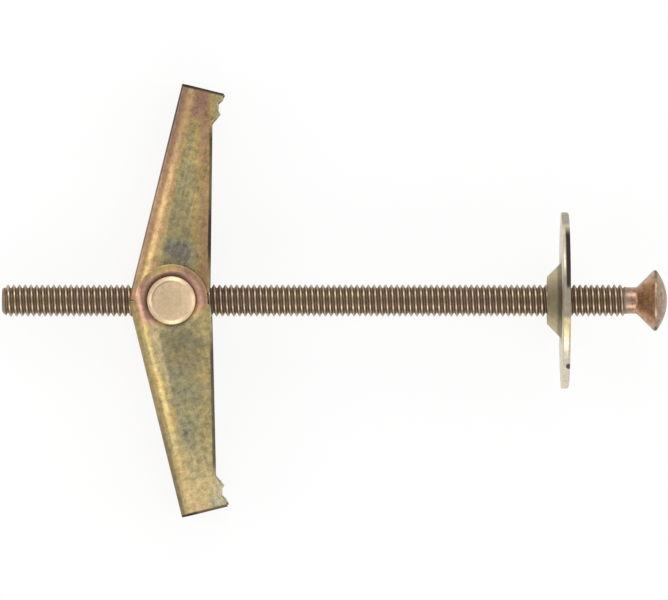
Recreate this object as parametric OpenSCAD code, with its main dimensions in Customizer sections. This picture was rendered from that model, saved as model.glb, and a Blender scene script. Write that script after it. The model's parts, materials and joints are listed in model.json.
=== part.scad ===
// Spring toggle bolt: a long machine screw, a dished washer and two sprung wings on a trunnion nut.
// Bolt frame: the pivot of the wings is the origin, the screw runs along x with its head at +x,
// the wings open along +y and -y, and the trunnion's axis is z. The finished bolt is then laid
// on its side, resting on one riveted end and on the washer's rim.

/* [Screw] */
// Outside diameter of the thread
thread_d = 3.9; // [3.7:0.05:4.4]
// Length from the tip to the rim of the head
screw_len = 80; // [70:1:110]
// Diameter of the plain neck under the head
neck_d = 3.25; // [2.8:0.05:3.6]
// Length of the plain neck, before the cone of the head
neck_len = 1.2; // [0.6:0.1:4]
// Chamfer at the tip
tip_chamfer = 0.6; // [0.3:0.05:1]
// Diameter of the head
head_d = 7.5; // [7:0.1:8.6]
// Height of the cylindrical rim of the head
rim_h = 0.25; // [0.1:0.05:0.5]
// Height of the dome above the rim
dome_h = 1.35; // [0.7:0.05:1.8]
// Width of the screwdriver slot
slot_w = 1; // [0.8:0.05:1.3]
// Depth of the slot below the top of the dome
slot_depth = 1.7; // [1.2:0.05:2.2]
// How far the tip sticks out past the pivot of the wings
tip_reach = 20.8; // [14:0.2:34]

/* [Washer] */
// Outside diameter of the washer
washer_d = 21.6; // [18:0.2:30]
// Thickness of the washer's sheet
washer_sheet = 0.9; // [0.6:0.05:1.2]
// Inside radius of the bend between the flange and the dish
washer_bend_r = 0.5; // [0.3:0.05:0.8]
// Diameter of the dish where it leaves the flange
dish_d = 9.3; // [8.8:0.1:12]
// Radial room round the thread in the washer's hole
hole_gap = 0.3; // [0.15:0.05:0.5]
// Distance from the pivot to the face of the flange that meets the wall
washer_pos = 47.6; // [40:0.2:52]

/* [Trunnion nut] */
// Diameter of the barrel
barrel_d = 7; // [6.4:0.1:8]
// Chamfer on the edges of the barrel
barrel_chamfer = 0.4; // [0.2:0.05:0.6]
// Diameter of the journals that the wings turn on
journal_d = 4.8; // [4:0.1:5.2]
// Diameter of the riveted ends
rivet_d = 5.9; // [5.6:0.1:7]
// Height of the riveted ends
rivet_h = 0.55; // [0.4:0.05:0.9]
// Width of the bevel round a riveted end
rivet_bevel = 0.45; // [0.2:0.05:0.7]
// Radial running fit between thread and nut, and between journal and wing
fit = 0.05; // [0.03:0.01:0.1]

/* [Wings] */
// Length of a wing from the pivot to its tip, along the web
wing_len = 26; // [20:0.2:36]
// Thickness of the wings' sheet
wing_sheet = 0.8; // [0.6:0.05:0.9]
// Inside radius of the bends between web and flanges
wing_bend_r = 1.2; // [1:0.05:1.5]
// Lean of the webs towards the head, in degrees
web_lean = 13.9; // [8:0.1:16]
// Distance from the pivot to the inner wing's open edge, towards the head
inner_edge = 4.6; // [4.3:0.05:4.8]
// Distance from the pivot to the outer wing's open edge, towards the head
outer_edge = 4.8; // [4.5:0.05:5.2]
// Lean of the inner wing's open edge towards the head, in degrees
inner_edge_lean = 0.7; // [0:0.1:2]
// Lean of the outer wing's open edge towards the head, in degrees
outer_edge_lean = 1.3; // [0:0.1:2]
// Diameter of the outer wing's ears
outer_ear_d = 8.8; // [8:0.1:9.4]
// Length of the toothed end of the open edge
bite_len = 3.6; // [2.5:0.05:5]
// Height of the first tooth above the open edge
tooth_h = 1; // [0.5:0.05:1.2]
// Depth of the notch behind the first tooth
tooth_notch = 0.27; // [0.1:0.01:0.4]
// Height of the second tooth above the open edge
second_tooth_h = 1.2; // [0.8:0.05:1.4]
// Height of the corner at the tip above the open edge
corner_h = 1.5; // [1:0.05:1.8]
// Depth of the dimple pressed into the outer ears round a riveted end
dimple_depth = 0.2; // [0.1:0.05:0.3]
// Width of that dimple outside the riveted end
dimple_w = 0.9; // [0.5:0.05:1]
// Distance from the pivot at which the inner wing's flanges reach their full depth
inner_relief = 2.8; // [2.6:0.1:5]
// Distance from the pivot at which the outer wing's flanges reach their full depth
outer_relief = 1.6; // [1:0.1:4]
// Gap between the wings and the barrel, and between the wings and the riveted ends
side_gap = 0.1; // [0.05:0.01:0.2]
// Gap between the nested flanges of the two wings
sheet_gap = 0.25; // [0.2:0.01:0.4]
// Width of the cut that parts an ear from the bend beside it
ear_relief = 0.25; // [0.15:0.05:0.5]
// Gap between the butting ends of the two webs
web_end_gap = 0.1; // [0.05:0.05:0.4]
// Room round the thread in the notch of each web
web_notch_gap = 0.4; // [0.3:0.05:0.8]

/* [Spring] */
// Diameter of the spring wire
wire_d = 0.5; // [0.35:0.01:0.6]
// Gap between the barrel and the coils
coil_gap = 0.15; // [0.1:0.05:0.3]
// Gap between the coils and the webs
coil_web_gap = 0.19; // [0.15:0.01:0.4]
// Gap between the thread and the nearest turn
coil_side_gap = 0.1; // [0.05:0.05:0.3]
// Gap between the outermost turn and the inner wing's bend
coil_bend_gap = 0.07; // [0.05:0.01:0.12]
// Rise of the wire along the pivot in each turn, over its own diameter
turn_gap = 0.02; // [0.01:0.01:0.05]
// Length of the legs along the webs
leg_len = 8; // [6:0.5:12]
// Radius of the corners of the bridge
bridge_r = 1; // [0.6:0.1:1.4]
// Gap between the ends of the legs and the webs
leg_gap = 0.04; // [0.03:0.01:0.1]

/* [Hidden] */
$fn = 96;
// Oversize of cutting shapes
over = 1;
zinc = [0.66, 0.58, 0.38];
zinc_dull = [0.52, 0.46, 0.34];
spring_steel = [0.62, 0.6, 0.56];

// Screw
thread_r = thread_d / 2;
neck_r = neck_d / 2;
head_r = head_d / 2;
rim_top = screw_len - tip_reach;
cone_end = rim_top - rim_h;
cone_start = cone_end - (head_r - neck_r);
neck_start = cone_start - neck_len;
dome_r = (head_r * head_r + dome_h * dome_h) / (2 * dome_h);
dome_center = rim_top + dome_h - dome_r;
tip_r = thread_r - tip_chamfer;

// Washer, with a dish of the same 45 degrees as the head
dish_angle = 45;
washer_hole_r = thread_r + hole_gap;
dish_r = dish_d / 2;
bend_center_r = dish_r + washer_bend_r * tan(dish_angle / 2);
dish_leg = (dish_r - washer_hole_r) / cos(dish_angle) - washer_sheet
    - washer_bend_r * tan(dish_angle / 2);

// Trunnion and the stack of sheets along the pivot
coil_sweep = 360 + 2 * web_lean;
coil_rise = (wire_d + turn_gap) * coil_sweep / 360;
turn_room = wing_bend_r - wire_d / 2 - coil_bend_gap;
turn_reach = wing_bend_r - wire_d / 2 - coil_web_gap;
coil_end_gap = wing_bend_r - wire_d / 2 - side_gap
    - sqrt(turn_room * turn_room - turn_reach * turn_reach);
barrel_len = thread_d + 2 * (coil_side_gap + wire_d + coil_rise + coil_end_gap);
barrel_r = barrel_d / 2;
journal_r = journal_d / 2;
rivet_r = rivet_d / 2;
rivet_face_r = rivet_r - rivet_bevel;
inner_side = barrel_len / 2 + side_gap;
inner_half = inner_side + wing_sheet;
outer_half = inner_half + sheet_gap + wing_sheet;
rivet_base = outer_half + side_gap;
rivet_top = rivet_base + rivet_h;
bore_r = thread_r + fit;

// Wings
coil_r = barrel_r + coil_gap + wire_d / 2;
web_in = coil_r + wire_d / 2 + coil_web_gap;
web_out = web_in + wing_sheet;
flange_start = web_in - wing_bend_r;
bend_out_r = wing_bend_r + wing_sheet;
outer_ear_r = outer_ear_d / 2;
nest_depth = wing_bend_r - sheet_gap;
inner_ear_r = flange_start - side_gap + sqrt(wing_bend_r * wing_bend_r - nest_depth * nest_depth);
pivot_hole_r = journal_r + fit;
relief_end = ear_relief / 2 - flange_start / cos(web_lean);
web_notch_r = thread_r + web_notch_gap;
// Places along the toothed end, as shares of its length
tooth_at = 0.34;
notch_at = 0.48;
notch_end_at = 0.68;
second_tooth_at = 0.8;

// Spring
coil_z = thread_r + coil_side_gap + wire_d / 2;
leg_flare = coil_web_gap - leg_gap;
wire_sides = 8;
leg_steps = 3;
turn_steps = 24;
corner_steps = 4;

// Lie of the bolt on its riveted end and the washer's rim
lie = atan((washer_d / 2 - rivet_top) / (washer_pos + rivet_face_r));
lift = rivet_face_r * sin(lie) + rivet_top * cos(lie);
low_x = -tip_reach * cos(lie) - tip_r * sin(lie);
high_x = dome_center * cos(lie) + dome_r;
shift_x = -(low_x + high_x) / 2;

module laid() {
    translate([shift_x, 0, lift]) rotate([0, -lie, 0]) children();
}

// Turns a shape that was made along z to run along the screw
module along_screw() {
    rotate([0, 90, 0]) children();
}

// Puts a shape at both ends of the pivot
module both_sides() {
    children();
    mirror([0, 0, 1]) children();
}

module screw() {
    color(zinc_dull) laid() difference() {
        along_screw() {
            rotate_extrude() polygon([
                [0, -tip_reach],
                [tip_r, -tip_reach],
                [thread_r, -tip_reach + tip_chamfer],
                [thread_r, neck_start - (thread_r - neck_r)],
                [neck_r, neck_start],
                [neck_r, cone_start],
                [head_r, cone_end],
                [head_r, rim_top],
                [0, rim_top]
            ]);
            intersection() {
                translate([0, 0, dome_center]) sphere(r = dome_r);
                translate([0, 0, cone_end]) cylinder(r = head_r, h = rim_h + dome_h + over);
            }
        }
        translate([rim_top + dome_h - slot_depth, -head_r - over, -slot_w / 2])
            cube([slot_depth + over, head_d + 2 * over, slot_w]);
    }
}

// Section of the washer: x is the radius, y runs towards the head from the face that meets the wall
module washer_section() {
    translate([bend_center_r, 0])
        square([washer_d / 2 - bend_center_r, washer_sheet]);
    translate([bend_center_r, -washer_bend_r]) {
        intersection() {
            difference() {
                circle(r = washer_bend_r + washer_sheet);
                circle(r = washer_bend_r);
            }
            polygon([
                [0, 0],
                [0, 2 * (washer_bend_r + washer_sheet)],
                [-2 * (washer_bend_r + washer_sheet) * tan(dish_angle), 2 * (washer_bend_r + washer_sheet)]
            ]);
        }
        rotate(dish_angle) translate([-dish_leg, washer_bend_r])
            square([dish_leg, washer_sheet]);
    }
}

module dished_washer() {
    color(zinc) laid() translate([washer_pos, 0, 0]) along_screw() rotate_extrude() washer_section();
}

module trunnion_nut() {
    color(zinc) laid() difference() {
        union() {
            both_sides() {
                cylinder(r = barrel_r, h = barrel_len / 2 - barrel_chamfer);
                translate([0, 0, barrel_len / 2 - barrel_chamfer])
                    cylinder(r1 = barrel_r, r2 = barrel_r - barrel_chamfer, h = barrel_chamfer);
                cylinder(r = journal_r, h = rivet_base);
                translate([0, 0, rivet_base])
                    cylinder(r = rivet_r, h = rivet_h / 2);
                translate([0, 0, rivet_base + rivet_h / 2])
                    cylinder(r1 = rivet_r, r2 = rivet_face_r, h = rivet_h / 2);
            }
        }
        translate([-barrel_d, 0, 0]) along_screw() cylinder(r = bore_r, h = 2 * barrel_d);
    }
}

// Section of a wing's channel: x runs from the web to the open edge, y across the wing
module channel_section(half_w) {
    translate([-web_out, bend_out_r - half_w]) square([wing_sheet, 2 * (half_w - bend_out_r)]);
    for (side = [0, 1]) mirror([0, side]) {
        translate([-flange_start, half_w - bend_out_r]) intersection() {
            difference() {
                circle(r = bend_out_r);
                circle(r = wing_bend_r);
            }
            translate([-2 * bend_out_r, 0]) square(2 * bend_out_r);
        }
        translate([-flange_start, half_w - wing_sheet]) square([wing_len, wing_sheet]);
    }
}

// Channel of a wing, with its web upright
module channel(half_w) {
    translate([0, -wing_len, 0]) rotate([-90, 0, 0])
        linear_extrude(height = 2 * wing_len) channel_section(half_w);
}

// Side view of a wing: x towards the head, y outwards from the pivot.
// The open edge starts at the ear and ends in the teeth.
module wing_outline(ear_r, relief, edge, edge_lean) {
    tip_u = (wing_len - (edge + corner_h) * sin(web_lean)) / cos(web_lean);
    bite_u = tip_u - bite_len;
    function on_edge(u, rise) = [edge + u * tan(edge_lean) + rise, u];
    function on_bite(share, rise) = on_edge(bite_u + share * bite_len, rise);
    polygon([
        [-2 * web_out, web_end_gap / 2],
        [ear_r - wing_sheet / 2, web_end_gap / 2],
        on_edge(relief, 0),
        on_bite(0, 0),
        on_bite(tooth_at, tooth_h),
        on_bite(notch_at, tooth_h - tooth_notch),
        on_bite(notch_end_at, tooth_h - tooth_notch),
        on_bite(second_tooth_at, second_tooth_h),
        on_bite(1, corner_h),
        [on_bite(1, corner_h).x, 2 * wing_len],
        [-2 * web_out, 2 * wing_len]
    ]);
}

// Side view of an ear: a disc round the pivot, cut free of the bend and let into the flange
module ear_outline(ear_r) {
    difference() {
        circle(r = ear_r);
        translate([-2 * ear_r, -ear_relief]) square([2 * ear_r + relief_end, 3 * ear_r]);
        translate([-2 * ear_r, ear_relief]) square([2 * ear_r, 3 * ear_r]);
    }
}

// One folded wing that opens along +y, with ears round the pivot.
// It is made with its web upright, so that ears and flanges are flush, and then leans with it.
module wing(half_w, ear_r, relief, edge, edge_lean) {
    rotate([0, 0, -web_lean]) difference() {
        union() {
            intersection() {
                channel(half_w);
                translate([0, 0, -2 * half_w]) linear_extrude(height = 4 * half_w)
                    rotate(web_lean) wing_outline(ear_r, relief, edge, edge_lean);
            }
            both_sides() translate([0, 0, half_w - wing_sheet])
                linear_extrude(height = wing_sheet) rotate(web_lean) ear_outline(ear_r);
        }
        translate([0, 0, -2 * half_w]) cylinder(r = pivot_hole_r, h = 4 * half_w);
        rotate([0, 0, web_lean]) translate([-2 * web_out, 0, 0])
            along_screw() cylinder(r = web_notch_r, h = 2 * web_out);
    }
}

module inner_wing() {
    color(zinc) laid() wing(inner_half, inner_ear_r, inner_relief, inner_edge, inner_edge_lean);
}

module outer_wing() {
    color(zinc) laid() mirror([0, 1, 0]) difference() {
        wing(outer_half, outer_ear_r, outer_relief, outer_edge, outer_edge_lean);
        both_sides() translate([0, 0, outer_half - dimple_depth])
            cylinder(r1 = rivet_r, r2 = rivet_r + 2 * dimple_w, h = 2 * dimple_depth);
    }
}

// Unit vectors of the spring: along a web from the pivot outwards, and out through that web
function leg_dir(side) = [sin(web_lean), side * cos(web_lean), 0];
function web_dir(side) = [-cos(web_lean), side * sin(web_lean), 0];
function unit(v) = v / norm(v);

// A point of a leg at a distance s from its coil, bowed out to touch the web at its end
function leg_point(side, s, z) = s * leg_dir(side)
    + (coil_r + leg_flare * pow(s / leg_len, 2)) * web_dir(side) + [0, 0, z];

// Half of the spring, from the middle of the bridge on the inner web to the end of the leg on the
// outer web: each entry is a point of the wire and the direction that its rings are built on
half_spring = concat(
    [[leg_point(1, leg_len, 0), web_dir(1)]],
    [for (i = [0:corner_steps])
        let (a = 90 * i / corner_steps)
        [leg_point(1, leg_len - bridge_r * (1 - cos(a)), coil_z - bridge_r * (1 - sin(a))), web_dir(1)]],
    [for (i = [1:leg_steps - 1])
        [leg_point(1, (leg_len - bridge_r) * (1 - i / leg_steps), coil_z), web_dir(1)]],
    [for (i = [0:turn_steps])
        let (a = 180 - web_lean + coil_sweep * i / turn_steps)
        [[coil_r * cos(a), coil_r * sin(a), coil_z + coil_rise * i / turn_steps], [cos(a), sin(a), 0]]],
    [for (i = [1:leg_steps])
        [leg_point(-1, leg_len * i / leg_steps, coil_z + coil_rise), web_dir(-1)]]
);
last = len(half_spring) - 1;
wire_path = concat(
    [for (i = [last:-1:1]) [[half_spring[i][0].x, half_spring[i][0].y, -half_spring[i][0].z], half_spring[i][1]]],
    half_spring
);
rings = len(wire_path);

// Ring of the wire round one point of its path
function wire_ring(i) =
    let (
        before = wire_path[max(i - 1, 0)][0],
        after = wire_path[min(i + 1, rings - 1)][0],
        along = unit(after - before),
        across = unit(cross(along, wire_path[i][1])),
        out = cross(across, along)
    )
    [for (k = [0:wire_sides - 1])
        let (a = 360 * k / wire_sides)
        wire_path[i][0] + wire_d / 2 * (cos(a) * out + sin(a) * across)];

module torsion_spring() {
    points = [for (i = [0:rings - 1]) each wire_ring(i)];
    walls = [for (i = [0:rings - 2], k = [0:wire_sides - 1])
        let (next = (k + 1) % wire_sides)
        [i * wire_sides + k, i * wire_sides + next,
            (i + 1) * wire_sides + next, (i + 1) * wire_sides + k]];
    start_cap = [[for (k = [wire_sides - 1:-1:0]) k]];
    end_cap = [[for (k = [0:wire_sides - 1]) (rings - 1) * wire_sides + k]];
    color(spring_steel) laid() polyhedron(points = points, faces = concat(walls, start_cap, end_cap));
}

screw();
dished_washer();
trunnion_nut();
inner_wing();
outer_wing();
torsion_spring();
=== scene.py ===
# %% [markdown]
# # Spring toggle bolt
# A long machine screw carries a dished washer under its head and a sprung toggle near its tip.
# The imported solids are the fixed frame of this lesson.

# %% Load the frame
import json
import math

import bmesh
import bpy
from mathutils import Matrix, Vector


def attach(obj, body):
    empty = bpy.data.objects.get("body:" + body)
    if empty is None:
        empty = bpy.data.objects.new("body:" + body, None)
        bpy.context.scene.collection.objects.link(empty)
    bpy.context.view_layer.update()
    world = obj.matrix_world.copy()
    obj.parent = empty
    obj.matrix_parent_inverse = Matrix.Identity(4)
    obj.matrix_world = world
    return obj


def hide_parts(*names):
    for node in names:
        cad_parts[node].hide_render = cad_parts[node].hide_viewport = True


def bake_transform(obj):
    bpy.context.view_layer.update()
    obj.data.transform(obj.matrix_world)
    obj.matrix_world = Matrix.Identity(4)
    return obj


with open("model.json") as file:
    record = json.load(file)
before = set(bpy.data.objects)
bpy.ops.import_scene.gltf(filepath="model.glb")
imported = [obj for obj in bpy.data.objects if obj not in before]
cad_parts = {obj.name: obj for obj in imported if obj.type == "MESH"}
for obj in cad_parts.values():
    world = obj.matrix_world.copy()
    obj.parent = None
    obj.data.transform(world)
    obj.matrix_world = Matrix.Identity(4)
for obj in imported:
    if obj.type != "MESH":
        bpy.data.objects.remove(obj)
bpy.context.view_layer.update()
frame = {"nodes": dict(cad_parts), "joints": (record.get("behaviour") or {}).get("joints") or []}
bpy.context.scene.view_settings.view_transform = "Standard"
print("nodes:", sorted(frame["nodes"]))

# %% [markdown]
# ## The bolt's own axes
# The bolt lies on one riveted end and on the washer's rim, so its screw rises a few degrees.
# Modelling along a slanted axis is awkward. It is easier to make each piece in the bolt's own
# frame, in millimetres, and to move the finished mesh: x runs along the screw towards its head,
# y towards the tip of the inner wing, z along the pivot of the wings, and the pivot is the origin.
# The joints of the frame give all three axes and the origin.

# %% The bolt's own axes
MM = 0.001
joints = {joint["name"]: joint for joint in frame["joints"]}
screw_axis = Vector(joints["toggle_travel"]["axis"]).normalized()
pivot_axis = Vector(joints["outer_wing_fold"]["axis"]).normalized()
pivot = Vector(joints["outer_wing_fold"]["pos_m"])
BOLT_TURN = Matrix((screw_axis, pivot_axis.cross(screw_axis), pivot_axis)).transposed()
BOLT = Matrix.Translation(pivot) @ BOLT_TURN.to_4x4() @ Matrix.Scale(MM, 4)


def bolt_point(x, y, z):
    """A point of the bolt's frame, given in millimetres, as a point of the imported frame."""
    return BOLT @ Vector((x, y, z))


print("the screw rises", round(math.degrees(math.asin(screw_axis.z)), 2), "degrees")

# %% [markdown]
# ## Camera
# The photograph looks straight along the pivot, so the wings' flanges are seen face on and the
# washer edge on. The camera stands on the pivot's direction with a long lens, which keeps the
# perspective as flat as it is there. Its width of view comes from the scale of the photograph.

# %% Camera
IMAGE_W = 668
IMAGE_H = 600
PIVOT_PIXEL = (172.3, 300.5)
PIXELS_PER_MM = 8.17
CAMERA_DISTANCE = 1000

view_x = (IMAGE_W / 2 - PIVOT_PIXEL[0]) / PIXELS_PER_MM
view_y = (PIVOT_PIXEL[1] - IMAGE_H / 2) / PIXELS_PER_MM
camera = bpy.data.cameras.new("photo_camera")
camera.sensor_width = 36
camera.lens = camera.sensor_width * CAMERA_DISTANCE * PIXELS_PER_MM / IMAGE_W
camera_object = bpy.data.objects.new("photo_camera", camera)
camera_place = Matrix.Translation(bolt_point(view_x, view_y, CAMERA_DISTANCE))
camera_object.matrix_world = camera_place @ BOLT_TURN.to_4x4()
bpy.context.scene.collection.objects.link(camera_object)
bpy.context.scene.camera = camera_object
print("lens:", round(camera.lens), "mm, looking at", round(view_x, 2), round(view_y, 2))

# %% [markdown]
# ## Node helpers
# Materials and geometry trees are built in the script. These few helpers keep that short: one
# adds a node, one feeds a socket with a value or a link, one does arithmetic, and one eases a
# value from 0 to 1 between two limits.

# %% Node helpers
def add_node(tree, kind, **settings):
    node = tree.nodes.new(kind)
    for name, value in settings.items():
        setattr(node, name, value)
    return node


def feed(tree, socket, value):
    if isinstance(value, bpy.types.NodeSocket):
        tree.links.new(value, socket)
    else:
        socket.default_value = value


def calc(tree, operation, *values):
    node = add_node(tree, "ShaderNodeMath", operation=operation)
    for socket, value in zip(node.inputs, values):
        feed(tree, socket, value)
    return node.outputs[0]


def ease(tree, value, low, high, start=0.0, end=1.0):
    node = add_node(tree, "ShaderNodeMapRange", interpolation_type="SMOOTHSTEP")
    for name, setting in zip(("From Min", "From Max", "To Min", "To Max"), (low, high, start, end)):
        feed(tree, node.inputs[name], setting)
    feed(tree, node.inputs["Value"], value)
    return node.outputs["Result"]


def total(tree, *values):
    result = values[0]
    for value in values[1:]:
        result = calc(tree, "ADD", result, value)
    return result


def ramp(tree, factor, stops):
    """A colour ramp through (place, colour) stops, read at factor."""
    node = add_node(tree, "ShaderNodeValToRGB")
    elements = node.color_ramp.elements
    while len(elements) < len(stops):
        elements.new(1.0)
    for element, (place, colour) in zip(elements, stops):
        element.position = place
        element.color = (*colour, 1.0)
    feed(tree, node.inputs["Fac"], factor)
    return node.outputs["Color"]


def toward(tree, value, target, share):
    """A value moved towards a target by a share from 0 to 1."""
    return calc(tree, "MULTIPLY_ADD", calc(tree, "SUBTRACT", target, value), share, value)


def both(tree, *masks):
    """The product of masks, which is 1 only where all of them are."""
    result = masks[0]
    for mask in masks[1:]:
        result = calc(tree, "MULTIPLY", result, mask)
    return result


def most(tree, *values):
    result = values[0]
    for value in values[1:]:
        result = calc(tree, "MAXIMUM", result, value)
    return result


def rest_of(tree, mask):
    """1 where a mask is 0, and 0 where it is 1."""
    return calc(tree, "SUBTRACT", 1.0, mask)


def blend_colour(tree, factor, first, second):
    node = add_node(tree, "ShaderNodeMix", data_type="RGBA")
    feed(tree, node.inputs["Factor"], factor)
    feed(tree, node.inputs[6], first)
    feed(tree, node.inputs[7], second)
    return node.outputs[2]


def shown_rays(tree):
    """1 for rays that show a surface to the camera, directly or in a reflection, and else 0."""
    path = add_node(tree, "ShaderNodeLightPath")
    seen = calc(tree, "MAXIMUM", path.outputs["Is Camera Ray"], path.outputs["Is Glossy Ray"])
    return calc(tree, "MAXIMUM", seen, path.outputs["Is Transmission Ray"])


def grey(level):
    return (level, level, level)


# %% [markdown]
# ## Studio light
# Plated metal has little colour of its own: it shows what stands round it. In the photograph the
# faces that look at the camera are dimmer than the bends beside them, and each bend has a dark
# line where it mirrors the horizon. So the surroundings are a white floor, a grey band at the
# horizon, a bright ring of soft light above it, and a dimmer patch where the camera stands.

# %% Studio light
SURROUNDINGS = (
    (0.00, grey(0.80)),
    (0.03, grey(0.30)),
    (0.20, grey(0.28)),
    (0.34, grey(0.95)),
    (0.60, grey(1.10)),
    (0.82, grey(1.06)),
    (0.92, grey(0.80)),
    (0.98, grey(0.46)),
    (1.00, grey(0.42)),
)
SOFT_LIGHT_LEVEL = 0.85
LAMPS = (
    ("tip_side_lamp", (-0.85, 0.0, 0.75), 0.5, 1.3),
    ("head_side_lamp", (0.85, 0.0, 0.75), 0.6, 1.0),
    ("inner_wing_lamp", (0.0, 0.85, 0.68), 0.5, 2.0),
    ("outer_wing_lamp", (0.0, -0.85, 0.68), 0.5, 2.0),
)


def studio_world():
    world = bpy.data.worlds.new("studio")
    world.use_nodes = True
    tree = world.node_tree
    tree.nodes.clear()
    direction = add_node(tree, "ShaderNodeTexCoord").outputs["Generated"]
    parts = add_node(tree, "ShaderNodeSeparateXYZ")
    feed(tree, parts.inputs[0], direction)
    shown = ramp(tree, parts.outputs["Z"], SURROUNDINGS)
    colour = blend_colour(tree, shown_rays(tree), (*grey(SOFT_LIGHT_LEVEL), 1.0), shown)
    background = add_node(tree, "ShaderNodeBackground")
    feed(tree, background.inputs["Color"], colour)
    output = add_node(tree, "ShaderNodeOutputWorld")
    tree.links.new(background.outputs[0], output.inputs["Surface"])
    return world


def soft_lamp(name, place, size, watts):
    """A square area lamp at a place in metres that looks at the bolt."""
    lamp = bpy.data.lights.new(name, "AREA")
    lamp.size = size
    lamp.energy = watts
    lamp_object = bpy.data.objects.new(name, lamp)
    lamp_object.location = place
    lamp_object.rotation_euler = (-Vector(place)).to_track_quat("-Z", "Y").to_euler()
    bpy.context.scene.collection.objects.link(lamp_object)
    return lamp_object


bpy.context.scene.world = studio_world()
for lamp in LAMPS:
    soft_lamp(*lamp)
print("surroundings:", len(SURROUNDINGS), "levels from the horizon to the zenith")

# %% [markdown]
# ## Floor
# A white floor that is lit like the rest would show a grey shadow, and the photograph shows almost
# none. Most of what the camera sees of this floor is therefore plain white, and the smaller part
# is lit as paper is, so that the bolt still has a soft shadow under it.

# %% Floor
FLOOR_SIZE = 8
FLOOR_DROP = 0.00002
PAPER_LEVEL = 0.92
PLAIN_WHITE_SHARE = 0.85


def floor_material():
    material = bpy.data.materials.new("studio_paper")
    material.use_nodes = True
    tree = material.node_tree
    tree.nodes.clear()
    paper = add_node(tree, "ShaderNodeBsdfDiffuse")
    paper.inputs["Color"].default_value = (*grey(PAPER_LEVEL), 1.0)
    plain = add_node(tree, "ShaderNodeEmission")
    mix = add_node(tree, "ShaderNodeMixShader")
    feed(tree, mix.inputs["Fac"], calc(tree, "MULTIPLY", shown_rays(tree), PLAIN_WHITE_SHARE))
    tree.links.new(paper.outputs[0], mix.inputs[1])
    tree.links.new(plain.outputs[0], mix.inputs[2])
    output = add_node(tree, "ShaderNodeOutputMaterial")
    tree.links.new(mix.outputs[0], output.inputs["Surface"])
    return material


def studio_floor():
    bm = bmesh.new()
    bmesh.ops.create_grid(bm, x_segments=1, y_segments=1, size=FLOOR_SIZE / 2)
    mesh = bpy.data.meshes.new("studio_floor")
    bm.to_mesh(mesh)
    bm.free()
    mesh.transform(Matrix.Translation((0, 0, -FLOOR_DROP)))
    mesh.materials.append(floor_material())
    floor = bpy.data.objects.new("studio_floor", mesh)
    bpy.context.scene.collection.objects.link(floor)
    return floor


studio_floor()
print("floor:", FLOOR_SIZE, "m of white paper")

# %% [markdown]
# ## Chromate film
# Yellow chromate is a film of a few hundred nanometres on bright zinc. Its colour follows its
# thickness: thin film is grey, then olive, gold, orange, and pink to brown where it is thickest,
# near edges and where the bath drained last. One shader group therefore turns a film value from
# 0 to 1 into a colour. Patches, fine specks and rolling streaks vary the film, so that
# their colours stay in the right order. Where it is rubbed off, bare zinc shows, and the same pale
# colour also paints highlights. A dark colour darkens it for grime and also paints shade, as in
# thread roots and along cut edges.

# %% Chromate film
FILM_COLOURS = (
    (0.00, (0.330, 0.280, 0.225)),
    (0.16, (0.448, 0.418, 0.252)),
    (0.32, (0.520, 0.430, 0.220)),
    (0.48, (0.620, 0.468, 0.188)),
    (0.64, (0.560, 0.360, 0.180)),
    (0.80, (0.520, 0.300, 0.205)),
    (1.00, (0.350, 0.205, 0.150)),
)
BARE_AND_HIGHLIGHT_COLOUR = (0.920, 0.800, 0.640, 1.0)
GRIME_AND_SHADE_COLOUR = (0.060, 0.047, 0.036, 1.0)
SPECK_SCALE = 1.5
FINE_SCALE = 6.0
STREAK_STRETCH = (3.2, 0.14, 3.2)
FILM_SPREAD = {"patch": 2.0, "speck": 0.4, "streak": 0.16}
SHADE_SPREAD = {"speck": 2.0, "fine": 1.0, "streak": 0.8}
ROUGH_SPREAD = {"patch": 0.22, "fine": 0.12}
GRIME_AND_SHADE_ROUGHNESS = 0.25
FINE_HEIGHT = 0.5
FILM_SOCKETS = ("Film", "Patches", "Patch Size", "Specks", "Bare", "Grime", "Roughness")


def film_noise(tree, place, scale, detail, stretch=(1, 1, 1)):
    """A value from 0 to 1 whose features are about 1 / scale millimetres across."""
    spread = add_node(tree, "ShaderNodeVectorMath", operation="MULTIPLY")
    feed(tree, spread.inputs[0], place)
    spread.inputs[1].default_value = stretch
    noise = add_node(tree, "ShaderNodeTexNoise")
    feed(tree, noise.inputs["Vector"], spread.outputs[0])
    feed(tree, noise.inputs["Scale"], scale)
    noise.inputs["Detail"].default_value = detail
    return noise.outputs["Fac"]


def centred(tree, value, strength):
    """Turns a value from 0 to 1 into one round 0, with a strength of its own."""
    return calc(tree, "MULTIPLY", calc(tree, "SUBTRACT", value, 0.5), strength)


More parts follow.
